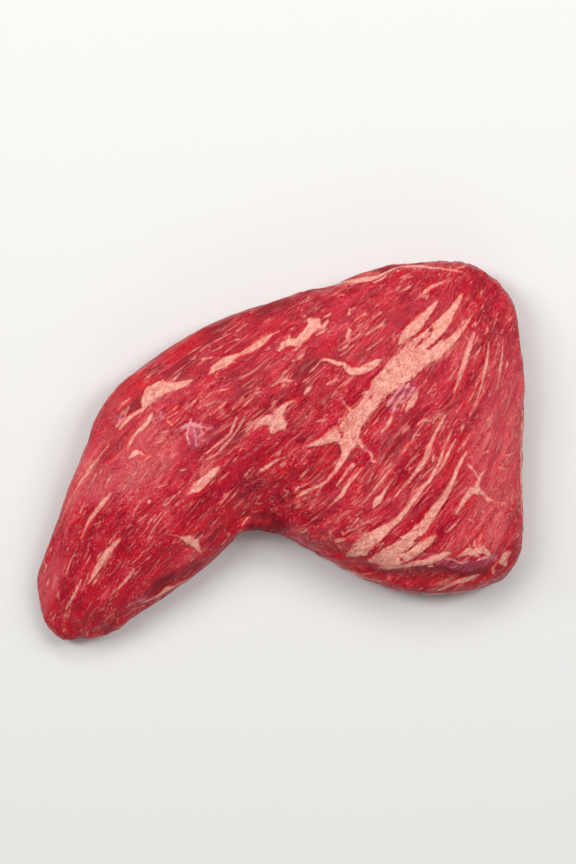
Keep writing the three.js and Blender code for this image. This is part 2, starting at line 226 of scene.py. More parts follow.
# Small spots, dashes and threads of fat on the top, in the same form
TOP_DASHES = [
    [(-88.9, 5.8, 0.4), (-87.4, 8.5, 0.4)], [(-98.5, -17, 0.7), (-96.2, -12.3, 1)],
    [(-91.2, -19.2, 0.4), (-88.2, -13, 0.6)],
    [(-78.5, -4, 0.7), (-75.5, -1, 1.7), (-73, -1, 1), (-70.4, -2.4, 0.5)],
    [(-71.2, -5.4, 0.4), (-67.4, -2.7, 0.6)], [(-80.8, -16.2, 0.3), (-75.1, -11.5, 0.5)],
    [(-63.5, 4.2, 0.5), (-61.2, 5.4, 0.7)], [(-61.2, 9.6, 0.5), (-58.2, 10.4, 0.6)],
    [(-58.2, 17, 0.4), (-53.2, 20, 0.7)], [(-58.2, 15.4, 0.6), (-55.8, 13.5, 0.7)],
    [(-55.1, 21.5, 0.8), (-53.5, 23.1, 0.7)], [(-49.2, 21.9, 0.4), (-46.5, 24, 0.7), (-44, 26.5, 0.5)],
    [(-52.4, -11, 0.3), (-48.5, -10.2, 0.5)], [(-63.5, -19.2, 0.5), (-58.9, -17.7, 0.4)],
    [(-57.3, -25.8, 0.3), (-52.3, -21.5, 0.5)], [(-68.4, -27.2, 0.9), (-68, -26.6, 1)],
    [(-40, 47.7, 0.8), (-35.4, 48.8, 0.5)], [(-28.1, 51.5, 0.4), (-25, 53.8, 0.5)],
    [(-23.5, 57.7, 0.5), (-20.8, 58.1, 0.8)], [(-28.1, 64.6, 0.3), (-25.4, 65.4, 0.4)],
    [(-15.4, 71.5, 0.4), (-13.8, 72.3, 0.5)], [(1.5, 66.2, 0.4), (3.8, 67.7, 0.5)],
    [(6.2, 66.2, 0.6), (8.5, 66.9, 0.4)], [(-7.3, 52.3, 0.4), (-5.4, 53.5, 0.5)],
    [(2.3, 47.3, 0.4), (3.8, 48.1, 0.5)], [(13.8, 30, 0.9), (15.6, 32, 1.2), (17.3, 33.5, 0.6)],
    [(-3.8, 34.2, 0.5), (0, 36.2, 0.5), (3.1, 36.9, 1), (6.5, 36.2, 0.6)],
    [(-14.6, 28.5, 0.5), (-10.4, 30.8, 0.7)], [(-24.6, 22.3, 0.4), (-18.5, 27.7, 0.6)],
    [(-30.8, 31.5, 0.7), (-25.4, 32.3, 0.4)], [(-38.5, 23.8, 0.4), (-33.1, 26.2, 0.6)],
    [(25, 34.6, 0.5), (30.4, 37.7, 0.7)], [(17.7, 83, 0.3), (21.9, 84.2, 0.5)],
    [(20, 15.4, 0.5), (24, 16.2, 0.7)], [(15.4, 40.8, 0.3), (21.5, 46.2, 0.35)],
    [(-56.2, -44.2, 0.3), (-51.5, -44.6, 0.3)],
    [(-19.6, -38.5, 0.5), (-16.9, -35.8, 0.7), (-15, -34.2, 0.4)],
    [(-19.2, -30, 0.3), (-15.4, -26.9, 0.4), (-12.3, -23.5, 0.3)], [(-18.1, -3.1, 0.4), (-16.2, -1.2, 0.4)],
    [(9.6, -28.8, 0.4), (11.2, -27.7, 0.6)], [(36.2, 60, 1.1), (37.3, 63.5, 0.7)],
    [(36.5, 71.3, 0.7), (37, 75, 0.4)], [(40, 68.6, 0.5), (45.4, 72, 0.8)],
    [(45.4, 61, 0.4), (50, 63.8, 0.7), (54.6, 66.3, 0.4)],
    [(38.5, 57, 0.3), (42.5, 61.5, 0.4), (46.9, 65.5, 0.3)],
    [(46.2, 52.5, 0.4), (50.5, 56, 0.6), (54.6, 59.4, 0.4)], [(57.3, 82.8, 0.3), (59.6, 83.6, 0.3)],
    [(42.4, 29.4, 0.3), (45, 30.6, 0.9), (48, 31, 1.6)], [(22.3, -18.5, 0.5), (19.6, -23.8, 0.3)],
    [(59.6, 18.2, 0.4), (58.4, 15.2, 1.1), (56.8, 12.8, 0.8), (54, 10, 0.5)],
    [(68.1, 3.8, 0.5), (64.6, -1.2, 0.6)], [(57.7, -3.8, 0.3), (55, -8, 0.4), (52.3, -11.5, 0.3)],
    [(39.6, -38.5, 0.4), (41.5, -35.4, 0.5)],
    [(34.6, -43.8, 0.5), (40.8, -40.4, 0.5), (46.9, -36.9, 0.5), (51.5, -34.6, 0.4)],
    [(23.8, -38.8, 0.4), (26.5, -36.9, 0.4)], [(30.4, -47.7, 1.1), (34.4, -46.3, 0.9)],
    [(33, -42.3, 0.5), (34, -44.8, 0.5)], [(31.5, -49.6, 0.9), (32.7, -51.5, 0.6)],
    [(72.7, -2.3, 0.4), (68.5, -5.4, 0.5)], [(68.5, -9.2, 0.5), (68.5, -11.5, 0.4)],
    [(81.5, -2.3, 0.5), (81.2, -5.4, 0.6)], [(90.4, 10, 0.5), (88.1, 3.8, 0.6)],
    [(96.5, 13, 0.6), (95.8, 10, 0.7)], [(94.2, -0.8, 0.4), (97.5, 4, 0.5), (100.4, 8.5, 0.3)],
    [(93, 6.2, 0.5), (90.4, 1.5, 0.5)], [(79, -60.8, 1.1), (80.2, -60.8, 1.2)],
    [(100, -50.4, 0.6), (98.6, -47, 0.4), (97.6, -43.4, 0.3)],
    [(102.6, -50.6, 0.6), (102.6, -46.6, 0.4), (101.8, -43, 0.3)],
    [(104.6, -50, 0.6), (105.6, -46.4, 0.4), (106.8, -42.6, 0.3)], [(112.3, -61.4, 0.8), (112.8, -64, 0.9)],
    [(105.8, -68.5, 0.4), (110.4, -68.8, 0.5)], [(73, -73.5, 0.5), (75, -72.3, 0.6)],
    [(42.3, -65, 0.4), (48.5, -63.8, 0.5)], [(106.6, -31.8, 0.7), (107.3, -32, 0.8)],
    [(99.6, -36.2, 0.6), (101.9, -37.7, 0.5)], [(108.8, -0.6, 0.8), (110, -0.2, 0.9)],
    [(118, -2.2, 0.5), (121, -2.4, 0.7), (124.2, -1.2, 0.6), (124.4, 0.4, 0.4)],
    [(115.4, -8.8, 0.5), (118.4, -9.6, 0.7)], [(123.5, -45.4, 0.4), (125.8, -43.8, 0.5)],
    [(93, -38.5, 0.5), (87.3, -43.8, 0.4)], [(93.8, -33.8, 0.3), (98.8, -30, 0.5)],
    [(-120.5, -52, 0.4), (-123.5, -58, 0.6), (-126.6, -64, 0.4)],
]

# Fat where the top isn't seen, in the manner of what shows round it
HIDDEN_FAT = [
    [(-104, -46, 0.4), (-99, -36, 1.2), (-93, -28, 1.5), (-88, -22, 0.5)],
    [(-100, -70, 0.5), (-95, -62, 1.4), (-89, -53, 1.8), (-84, -47, 0.6)],
    [(-112, -84, 0.4), (-108, -76, 0.9), (-104, -68, 0.4)],
    [(-86, -74, 0.4), (-80, -68, 1), (-75, -62, 0.4)],
    [(104, 24, 0.4), (107, 35, 0.9), (109, 47, 1), (110, 57, 0.4)],
    [(115, 32, 0.4), (117, 45, 1), (117.5, 58, 0.4)],
    [(92, 30, 0.4), (95, 40, 1.2), (99, 52, 1.6), (103, 62, 0.5)],
    [(72, 80, 0.4), (80, 86, 1.1), (88, 89, 0.5)],
]

# Slivers of muscle that lie in the broad fat of the top, in the same form
SLIVERS = {
    "strip curl": [(64, -56, 0.5), (65.6, -57.5, 0.5), (64.8, -59, 0.4)],
    "strip spot": [(71.4, -47.6, 0.8), (73.5, -46.2, 1)],
    "strip gap": [(46.6, -55.4, 0.5), (49, -52.6, 0.8), (52.4, -49.6, 0.6)],
    "seam sliver one": [(80, 63.4, 0.4), (76, 58, 0.9), (71, 53.6, 0.4)],
    "seam sliver two": [(88, 63, 0.4), (84, 58.6, 1), (79, 53.6, 0.5)],
    "seam sliver three": [(31.4, 11, 0.4), (33.6, 8.6, 0.5), (33.4, 5.4, 0.3)],
    "seam sliver four": [(50, 30.6, 0.3), (47.4, 26.8, 0.4)],
}

# Fat on the underside, in the same form but in plan
UNDER_FAT = {
    "great seam": [
        (96, 74, 1.4), (86, 56, 3.2), (76, 38, 4.6), (66, 20, 4), (58, 4, 3), (52, -12, 2.2),
        (44, -26, 1.4), (34, -38, 0.5),
    ],
    "great seam branch": [(68, 24, 3), (54, 24, 2), (42, 18, 1.4), (32, 10, 0.5)],
    "wide strip": [
        (110, 52, 0.5), (107, 34, 1.6), (102, 14, 2.4), (96, -6, 2), (87, -26, 1.4), (77, -42, 0.5),
    ],
    "end strip": [(112, 8, 0.4), (110, -14, 1.4), (104, -34, 1.6), (95, -50, 0.6)],
    "middle patch": [(-18, 4, 0.6), (-10, 12, 2.6), (0, 22, 3.4), (8, 32, 2.2), (12, 40, 0.6)],
    "long strip": [(-60, 18, 0.5), (-48, 28, 1.6), (-34, 38, 2.2), (-20, 48, 1.6), (-4, 58, 0.6)],
    "arm strip": [(-96, -62, 0.5), (-86, -50, 1.8), (-74, -38, 2.4), (-64, -28, 1.4), (-56, -20, 0.5)],
    "arm patch": [(-82, -8, 0.6), (-76, 0, 2), (-68, 10, 2.4), (-62, 16, 0.8)],
    "bend thread": [(-26, -26, 0.4), (-20, -16, 1), (-12, -6, 1.2), (-4, 2, 0.4)],
    "inner strip": [(16, -34, 0.5), (24, -24, 1.6), (32, -12, 1.6), (38, -2, 0.5)],
    "tail thread": [(-112, -76, 0.4), (-108, -64, 1), (-102, -50, 0.9), (-96, -38, 0.4)],
    "upper thread": [(30, 68, 0.5), (46, 74, 1.4), (62, 80, 1), (74, 84, 0.4)],
    "low patch": [(48, -44, 0.6), (60, -46, 2.4), (74, -48, 2.8), (86, -46, 1.2)],
}

# Fat round the sides, as (x, y, z, half width); each point is moved to the nearest place on the surface
SIDE_FAT = {
    "cut side one": [(118, -68, 22, 0.5), (100, -76, 20, 1.2), (80, -78, 17, 1.4), (62, -76, 19, 0.5)],
    "cut side two": [(108, -74, 12, 0.4), (90, -78, 9, 1), (70, -78, 10, 0.5)],
    "cut side three": [(56, -70, 24, 0.4), (40, -66, 20, 1.2), (26, -58, 16, 0.6)],
    "wide end one": [(130, -40, 20, 0.4), (131, -20, 25, 1.4), (131, 2, 23, 1.6), (131, 22, 27, 0.5)],
    "wide end two": [(131, 28, 12, 0.4), (131, 48, 16, 1.6), (127, 70, 15, 0.6)],
    "wide end three": [(131, -34, 9, 0.4), (131, -12, 12, 1.2), (131, 8, 10, 0.5)],
    "long side one": [(60, 100, 16, 0.5), (38, 94, 18, 1.4), (14, 88, 15, 1), (-8, 80, 17, 0.4)],
    "long side two": [(-30, 74, 14, 0.4), (-50, 62, 16, 1.6), (-68, 52, 14, 0.6)],
    "outer side": [(-92, 26, 14, 0.4), (-104, 2, 16, 1.2), (-112, -18, 14, 1.4), (-120, -40, 12, 0.5)],
    "tail end": [(-130, -78, 9, 0.4), (-124, -94, 11, 1.2), (-108, -102, 9, 0.5)],
    "inner arm": [(-80, -94, 10, 0.4), (-62, -82, 13, 1.2), (-44, -68, 12, 0.5)],
    "bend side": [(-4, -42, 16, 0.4), (10, -50, 13, 1), (22, -57, 15, 0.4)],
}

# Silverskin and other thin membrane on the top: (x, y, half width)
MEMBRANE = {
    "arm silverskin": [(-46, 10.8, 3), (-43, 9.6, 4.4), (-42.6, 6.2, 3.8), (-44.6, 3, 2.2)],
    "arm silverskin top": [
        (-54, 11, 0.6), (-49.5, 12.4, 1.3), (-46, 13.4, 2), (-41, 12.2, 1.8), (-36.4, 11.4, 0.8),
    ],
    "outer pink": [(-84.6, 14.4, 1.6), (-82.8, 15.9, 2.3), (-80, 17.6, 1.2)],
    "outer purple": [(-65, 45, 0.8), (-61, 46, 1)],
    "inner pale": [(-66, 16.5, 1.6), (-62, 18, 1.8), (-56, 14.5, 1)],
    "seam purple": [(70.5, 33, 3), (66, 30.4, 4.4), (62, 25.4, 3.6), (59, 20.4, 1.8)],
    "corner purple": [
        (80, -55.6, 1.2), (85, -58.4, 3), (92, -60.6, 3.8), (100, -60.6, 4), (107, -58.6, 3.6),
        (113.5, -56.6, 2.2),
    ],
    "strip purple": [(65, -57, 0.7), (70, -55.8, 1.1), (75, -53.8, 1.2)],
    "lower rim": [(7.7, -45.4, 0.6), (11.2, -47.3, 1.4), (13, -48, 1), (20, -52.6, 0.8), (30, -58.5, 0.6)],
    "arm rim": [
        (-40, -64, 0.6), (-49, -70, 0.9), (-57, -73.5, 1.1), (-64, -77, 1), (-70, -78.5, 1.4),
        (-77, -80, 0.8),
    ],
    "top purple": [(68, 97, 1.2), (78, 97, 1.6), (88, 95.5, 1.2)],
}

# Pale strands that cross the membrane, in the same form
STRANDS = {
    "silverskin bar": [
        (-54, 10.6, 0.3), (-50, 12.4, 0.5), (-46.4, 14.4, 0.9), (-42, 12.8, 0.7), (-37.4, 11.4, 0.3),
    ],
    "silverskin spike": [(-46.4, 14.4, 0.7), (-46.2, 17, 0.3)],
    "silverskin strand one": [(-47.4, 13, 0.4), (-48.2, 8.4, 0.5), (-47.6, 4.6, 0.5), (-47.2, 1.4, 0.3)],
    "silverskin strand two": [(-41, 12, 0.4), (-39.8, 9, 0.5), (-41, 6, 0.3)],
    "silverskin strand three": [(-45, 13, 0.4), (-43.8, 8, 0.4), (-43.4, 2.7, 0.4)],
    "seam strand one": [
        (68.5, 35.4, 0.3), (67.7, 33.9, 0.6), (63.9, 27.6, 0.5), (60.8, 23.4, 0.5), (59.8, 18.4, 0.4),
    ],
    "seam strand two": [(71, 33, 0.4), (69, 30.4, 0.5), (67.6, 28, 0.3)],
    "seam strand three": [(66.5, 36, 0.5), (62.5, 30.9, 0.8), (59.8, 27.6, 0.9), (56.9, 23.4, 0.4)],
    "outer strand": [(-85.6, 13.2, 0.7), (-83.2, 15.4, 1.4), (-80.6, 17, 0.7)],
    "corner strand": [(87, -56.4, 0.4), (91, -57, 0.8), (96, -59.4, 0.5), (101, -58, 0.4)],
    "corner strand two": [(104, -57, 0.4), (109, -55.4, 0.8), (112.6, -54.6, 0.4)],
}

# Spots of other muscle colour, of painted shade and of painted light on the top: (x, y, half length, half
# width, degrees, strength)
# Deep red spots: partly darker muscle, partly painted shade in the bend and along the low and top edges,
# where the surface turns away from the light
DEEP_RED_AND_PAINTED_SHADE = [
    (-76, 27, 7, 3.5, 70, 0.5), (14, 43, 13, 4, 38, 0.7), (-8, -38, 11, 7, 20, 1),
    (15, 7, 9, 3, 20, 0.4), (-15, 25, 8, 3, 30, 0.4), (-20, -16, 8, 5, 40, 0.3),
    (-38, -43, 14, 6, 40, 0.4), (30, 1, 6, 4, 0, 0.5), (84, -64, 24, 4, 2, 0.3),
    (93, -61, 20, 5, -4, 0.85), (69.5, -50.4, 6, 1.8, 38, 0.8), (45, 52, 10, 4, 40, 0.4),
    (66.5, 54, 5, 1.6, 42, 1), (40, 94.5, 22, 1.2, 18, 0.8), (-62, -71, 14, 4, 32, 0.7),
    (-10, 76, 50, 5, 20, 0.4), (20, -8, 10, 8, 40, 0.35), (-15, -18, 14, 7, 45, 0.4),
    (60, 1, 12, 8, 55, 0.6), (-6, -40, 14, 6, 10, 1), (-80, 34, 9, 5, 50, 0.4),
    (65, 31, 8, 5, 55, 0.6), (-25, 5, 12, 6, 48, 0.6), (-33, 8, 6, 4, 45, 0.4),
    (-3, 76, 16, 5, 24, 0.65), (-46, -64, 11, 4, 42, 0.45), (6, -27, 15, 8, 25, 0.5),
    (94, -75, 18, 3, 5, 0.6), (-10, 41, 10, 5, 35, 0.4), (36, -5, 4, 5, 60, 0.4),
    (-33, 63, 14, 5, 28, 0.5), (48, -17, 9, 5, 55, 0.4), (-46, 45, 18, 9, 34, 0.35),
    (-66, 42, 8, 4, 40, 0.6), (26, 88, 22, 3, 20, 0.7), (58, 96.5, 18, 2.5, 10, 0.7),
    (-60, -9, 8, 5, 50, 0.45), (-14, 33, 9, 5, 35, 0.35), (-44, 63, 34, 5, 34, 0.35),
]
# Bright red spots: partly brighter muscle, partly painted light on the low slope at the cut end and along
# the upper left edge
BRIGHT_RED_AND_PAINTED_LIGHT = [
    (-78, 34, 13, 8, 45, 1), (6.5, 53, 3, 2, 10, 1), (38, 46.5, 4, 2.5, 20, 1), (22, 8, 8, 2, 35, 0.6),
    (25, -5, 11, 6, 60, 0.8), (14, 64, 5, 3, 50, 0.4), (35, -33, 8, 4, 40, 0.5),
    (55, -6, 12, 4, 55, 0.3), (4, -9, 9, 5, 40, 0.45), (43, 5, 4, 3, 60, 0.8),
    (-88, -5, 5, 2, 60, 0.4), (-25, -32, 10, 5, 50, 0.4), (118, -14, 6, 8, 80, 0.3),
    (62, -46, 12, 2, 40, 0.6), (103, -45, 6, 4, 90, 0.5), (82, -68, 36, 5, 3, 0.5),
    (36, -60, 20, 5, -32, 0.4), (-50, 55, 18, 6, 35, 0.9),
]
# Pale pink spots: partly paler muscle and membrane, partly painted light along the left and right edges,
# where the sides face the lights
PALE_PINK_AND_PAINTED_LIGHT = [
    (-106, -14, 24, 9, 66, 1), (-92, 14, 22, 6, 60, 0.4), (-70, -6, 26, 16, 45, 0.6),
    (120, 20, 40, 14, 85, 0.6), (112, -38, 16, 11, 80, 0.5), (-122, -72, 20, 7, 70, 0.8),
    (-94, -18, 12, 9, 60, 1), (-88, 10, 10, 6, 60, 0.8), (114, -2, 44, 16, 82, 0.7),
    (13, 18, 8, 5, 40, 0.35), (-44, 8, 9, 7, 20, 0.35), (97, -43, 14, 7, 55, 0.55),
    (26, -41, 10, 7, 50, 0.4), (24, 30, 8, 6, 30, 0.25),
]
# Where fine pale lines run close together, in the same form
LINED = [
    (62, -12, 44, 24, 55, 1), (-20, 26, 34, 14, 36, 0.6), (44, 68, 22, 12, 38, 0.55),
    (96, -62, 30, 8, 15, 0.8), (-62, -14, 30, 16, 50, 0.45), (24, -32, 18, 10, 42, 0.4),
]

# How far out a spot starts and stops fading, in shares of its size
SPOT_EDGE = (0.45, 1.25)
# Upward part of the normal over which the colours of the top fade in
TOP_FACING = (-0.1, 0.35)

# Seeded dashes of fat along the grain, bent by up to a share of their length
DASHES = 260
DASH_LENGTH = (3, 10)
DASH_HALF_WIDTH = (0.3, 0.8)
DASH_BEND = 0.12
DASH_ENDS = (0.5, 0.4)  # half widths at the two ends, as shares of the middle's

# Strokes: the spacing of their points, how far from them distances are told apart, and the height
# from which those of the underside are looked up
STROKE_STEP = 2.5
STROKE_REACH = 3
UNDER_START = -200
# Sway of the strokes and of the grain: (wavelength, distance)
STROKE_SWAY = (15, 0.6)
GRAIN_SWAY = (26, 2.2)

# Relief: (wavelength along the grain, across it, height), and how many layers of noise each has
RELIEF = [(60, 24, 1), (30, 7, 0.85), (13, 3, 0.3)]
RELIEF_LAYERS = 2
# Half widths over which fat comes to rise, to even the relief and to have a crease beside it, and
# distances from its edge over which its rise ends
BROAD_FAT = (0.5, 2.6)
FAT_EDGE = (-0.9, 0.36)
FAT_RISE = 0.45
FAT_EVENING = 0.45
CREASE_DEPTH = 0.25
CREASE_AT = 0.9
CREASE_WIDTH = 0.8
# Downward part of the normal over which the relief turns into the base's, which only goes inwards
BASE_FACING = (0.8, 0.98)
BASE_RELIEF = 0.35

# UV map: spread of the steep sides, room round each chart, and the charts' height and margin in it
UV_SPREAD = 8
UV_ROOM = 1
UV_CHART = 0.49
UV_MARGIN = 0.005

# Colours, 0 to 255 on screen before light and gloss are added
MUSCLE = [
    (0.08, (124, 2, 24)), (0.34, (148, 6, 31)), (0.5, (167, 14, 38)), (0.66, (186, 34, 52)),
    (0.82, (206, 72, 82)), (0.98, (222, 120, 118)),
]
# Deep red of darker muscle, also the colour of painted shade in the bend, along the edges, beside the fat
# and in small pits
MUSCLE_DEEP_AND_PAINTED_SHADE = (98, 0, 12)
MUSCLE_DARK = (132, 8, 34)
# Bright red of brighter muscle, also the colour of painted light on the low slope and the upper left edge
MUSCLE_BRIGHT = (196, 16, 28)
# Pale pink of paler muscle, also the colour of painted light along the left and right edges
MUSCLE_PALE_AND_PAINTED_LIGHT = (196, 84, 93)
# Painted highlight: the colour of small wet glints laid into the muscle's colour
MUSCLE_PAINTED_GLINT = (230, 136, 134)
MEMBRANE_DARK = (158, 44, 70)
MEMBRANE_PALE = (206, 106, 118)
MEMBRANE_STRAND = (224, 150, 148)
FAT_THIN = (200, 98, 92)
FAT_DULL = (200, 116, 104)
FAT = (207, 130, 117)
FAT_THICK = (225, 163, 144)
FAT_FLAW = (178, 82, 76)
FLOOR_COLOUR = (210, 209, 207)

# Noises of the beef: wavelengths along the grain, across it and upwards, detail, roughness, distortion
NOISES = {
    "fibre": ((7, 1.8, 1.8), 2, 0.6, 0.5),
    "strand": ((18, 4.5, 4.5), 2, 0.6, 0.5),
    "bundle": ((50, 8, 8), 2, 0.5, 0),
    "mottle": ((20, 13, 13), 2, 0.6, 0),
    "grit": ((2.2, 1.2, 1.2), 2, 0.7, 0),
    "bright bed": ((24, 9, 9), 3, 0.6, 1),
    "dark bed": ((17, 6, 6), 3, 0.6, 1),
    # Pores: where the painted shade of small pits goes
    "pore": ((1.4, 0.8, 0.8), 2, 0.6, 0),
    "fray": ((5, 3.5, 3.5), 3, 0.7, 0.5),
    "film": ((9, 2, 2), 3, 0.6, 1),
    "thread": ((52, 3, 8), 1, 0.4, 0),
    "thread place": ((18, 5, 5), 1, 0.5, 0),
    "hairline": ((24, 1.8, 5), 1, 0.4, 0),
    "hairline place": ((13, 4, 4), 1, 0.5, 0),
    "web": ((6, 4.5, 4.5), 2, 0.6, 1.2),
    "web place": ((30, 18, 18), 1, 0.5, 0),
    "fleck": ((7, 1.3, 2.5), 3, 0.7, 0.5),
    "fleck place": ((16, 9, 9), 1, 0.5, 0),
    "dash": ((10, 2.6, 2.6), 3, 0.6, 0.3),
    # Noise that places the painted highlights of small wet glints
    "painted_glint": ((1.5, 0.9, 0.9), 1, 0.5, 0),
    "tear": ((7, 3, 3), 3, 0.7, 0.4),
    "lobe": ((5, 4, 4), 3, 0.6, 0.3),
    "flaw": ((2.4, 2, 2), 3, 0.7, 0.2),
}
# What is the same all over the moist surface
BEEF_SHADER = {
    "Subsurface Weight": 0.08, "Subsurface Radius": (1, 0.35, 0.25), "Subsurface Scale": 1.5 * MM,
    "IOR": 1.33, "Specular IOR Level": 0.4,
}
BUMP_HEIGHT = 0.8

# Floor and lights, in metres and watts: (place, width and height, power)
FLOOR_HALF = 3
FLOOR_ROUGHNESS = 0.8
LIGHTS = {
    "left": ((-0.85, 0.4, 1.15), (0.4, 1.1), 13),
    "right": ((0.85, 0.4, 1.15), (0.4, 1.1), 12),
    "far": ((0, 1.05, 1.1), (1.1, 0.4), 8.5),
    "near": ((0.2, -1.2, 0.8), (1.1, 0.4), 2.5),
}
SKY_STRENGTH = 0.25


def linear(colour):
    """A screen colour, 0 to 255, as Blender's linear red, green, blue, alpha."""
    share = np.array(colour) / 255
    light = np.where(share <= 0.04045, share / 12.92, ((share + 0.055) / 1.055) ** 2.4)
    return (*light.tolist(), 1)


def smooth_step(value, low, high):
    """0 below low, 1 above high, and an even curve between them."""
    share = np.clip((value - low) / (high - low), 0, 1)
    return share * share * (3 - 2 * share)


# Smooth noise
NOISE_GAIN = 1.6
LAYER_SHIFT = 17.3
SWAY_STARTS = (3.7, 41.2, 77.9)
HASH_SIZE = 256
rng = np.random.default_rng(SEED)
HASH = rng.permutation(HASH_SIZE)
SLOPES = rng.normal(size=(HASH_SIZE, 3))
SLOPES /= np.linalg.norm(SLOPES, axis=1, keepdims=True)


def noise(places):
    """Smooth noise between about -1 and 1, at places counted in wavelengths."""
    cell = np.floor(places).astype(np.int64)
    inside = places - cell
    fade = inside**3 * (inside * (inside * 6 - 15) + 10)
    total = np.zeros(len(places))
    for corner in itertools.product((0, 1), repeat=3):
        x, y, z = ((cell + corner) % HASH_SIZE).T
        slope = SLOPES[HASH[(HASH[(HASH[x] + y) % HASH_SIZE] + z) % HASH_SIZE]]
        weight = np.prod(np.where(np.array(corner) == 1, fade, 1 - fade), axis=1)
        total += weight * np.sum(slope * (inside - corner), axis=1)
    return total * NOISE_GAIN


def rough_noise(places, layers):
    """Noise with finer and fainter layers added."""
    return sum(noise(places * 2**layer + LAYER_SHIFT * layer) / 2**layer for layer in range(layers))


def swayed(points, wavelength, distance):
    """Points moved to and fro by smooth noise."""
    shifts = [noise(points / wavelength + start) for start in SWAY_STARTS]
    return points + distance * np.stack(shifts, axis=1)


# Muscle grain
GRAIN_UNIT = 100
GRAIN_TERMS = [(i, j) for i in range(4) for j in range(4 - i) if i + j]


def grain_terms(x, y):
    """The terms of a cubic in x and y, one column each."""
    x, y = x / GRAIN_UNIT, y / GRAIN_UNIT
    return np.stack([x**i * y**j for i, j in GRAIN_TERMS], axis=-1)


def grain_slopes(x, y):
    """How those terms change along x and along y."""
    x, y = x / GRAIN_UNIT, y / GRAIN_UNIT
    along_x = [i * x ** max(i - 1, 0) * y**j / GRAIN_UNIT for i, j in GRAIN_TERMS]
    along_y = [j * x**i * y ** max(j - 1, 0) / GRAIN_UNIT for i, j in GRAIN_TERMS]
    return np.stack(along_x, axis=-1), np.stack(along_y, axis=-1)


def fit_grain():
    """Weights of two cubics that count millimetres along the grain and across it."""
    x, y, degrees = np.array(GRAIN, float).T
    rows = np.vstack(grain_slopes(x, y))
    angle = np.radians(degrees)
    along = np.concatenate((np.cos(angle), np.sin(angle)))
    across = np.concatenate((-np.sin(angle), np.cos(angle)))
    return [np.linalg.lstsq(rows, wanted, rcond=None)[0] for wanted in (along, across)]


ALONG, ACROSS = fit_grain()


def grain_at(points):
    """Places counted along the grain, across it and upwards."""
    terms = grain_terms(points[:, 0], points[:, 1])
    return np.stack((terms @ ALONG, terms @ ACROSS, points[:, 2]), axis=1)


def grain_direction(x, y):
    """Unit vector along the grain at one place."""
    along_x, along_y = grain_slopes(np.array([x]), np.array([y]))
    way = np.array([(along_x @ ALONG)[0], (along_y @ ALONG)[0], 0])
    return way / np.linalg.norm(way)


# Objects and meshes
def added(name, data):
    """A new object in the scene."""
    made = bpy.data.objects.new(name, data)
    bpy.context.scene.collection.objects.link(made)
    return made


def fine_copy(node, name):
    """A copy of a CAD node with an even, smooth and fine mesh."""
    coarse = node.data.copy()
    piece = added(name, coarse)
    even = piece.modifiers.new("even", "REMESH")
    even.mode = "VOXEL"
    even.voxel_size = VOXEL * MM
    piece.modifiers.new("smooth", "SMOOTH").iterations = SMOOTH_ROUNDS
    piece.modifiers.new("fine", "SUBSURF").levels = FINE_LEVELS
    graph = bpy.context.evaluated_depsgraph_get()
    fine = bpy.data.meshes.new_from_object(piece.evaluated_get(graph))
    piece.modifiers.clear()
    piece.data = fine
    bpy.data.meshes.remove(coarse)
    return piece


def vectors(items, name):
    """Three numbers of each item of a mesh."""
    flat = np.empty(len(items) * 3, np.float32)
    items.foreach_get(name, flat)
    return flat.reshape(-1, 3).astype(float)


def integers(items, name):
    """One whole number of each item of a mesh."""
    flat = np.empty(len(items), np.int32)
    items.foreach_get(name, flat)
    return flat


def put(mesh, name, values):
    """Stores one number or three numbers of each point on the mesh."""
    kind, field = ("FLOAT", "value") if values.ndim == 1 else ("FLOAT_VECTOR", "vector")
    layer = mesh.attributes.new(name, kind, "POINT")
    layer.data.foreach_set(field, values.astype(np.float32).ravel())


class Surface:
    """Finds places on a mesh, in millimetres."""

    def __init__(self, piece):
        self.tree = BVHTree.FromObject(piece, bpy.context.evaluated_depsgraph_get())

    def nearest(self, x, y, z):
        """The place on the surface that is nearest to a point."""
        found, _, _, _ = self.tree.find_nearest(Vector((x, y, z)) * MM)
        return np.array(found) / MM

    def met(self, start, way, near):
        """The first place that a line meets, or the place nearest to a point if it misses."""
        found, _, _, _ = self.tree.ray_cast(Vector(start) * MM, Vector(way).normalized())
        return self.nearest(*near) if found is None else np.array(found) / MM

    def seen(self, x, y):
        """The place that the camera sees at a point of its view plane."""
        point = Vector((x, y, VIEW_PLANE))
        return self.met(CAMERA_PLACE, point - Vector(CAMERA_PLACE), point)

    def below(self, x, y):
        """The place on the underside at a point of the plan."""
        return self.met((x, y, UNDER_START), (0, 0, 1), (x, y, 0))


# Strokes
def dense(stroke):
    """A stroke with more points put between its own, so that it can follow the surface."""
    stroke = np.array(stroke, float)
    rows = [stroke[0]]
    for start, end in zip(stroke, stroke[1:]):
        steps = max(1, int(np.ceil(np.linalg.norm((end - start)[:-1]) / STROKE_STEP)))
        rows += [start + (end - start) * step / steps for step in range(1, steps + 1)]
    return np.array(rows)


def laid(strokes, place_at, shift=(0, 0)):
    """Strokes laid where a function finds their places on the surface: rows of x, y, z, half width."""
    runs = []
    for stroke in strokes:
        rows = dense(stroke)
        rows[:, :2] += shift
        runs.append(np.array([(*place_at(*row[:-1]), row[-1]) for row in rows]))
    return runs


def scattered(points, normals):
    """Seeded dashes of fat along the grain, all over the surface, as strokes in space."""
    strokes = []
    for index in rng.choice(len(points), DASHES, replace=False):
        length = rng.uniform(*DASH_LENGTH)
        width = rng.uniform(*DASH_HALF_WIDTH)
        bend = rng.uniform(-DASH_BEND, DASH_BEND) * length
        place, normal = points[index], normals[index]
        way = grain_direction(place[0], place[1])
        way -= normal * (way @ normal)
        middle = place + np.cross(normal, way) * bend
        first, last = (width * share for share in DASH_ENDS)
        start, end = place - way * length / 2, place + way * length / 2
        strokes.append([(*start, first), (*middle, width), (*end, last)])
    return strokes


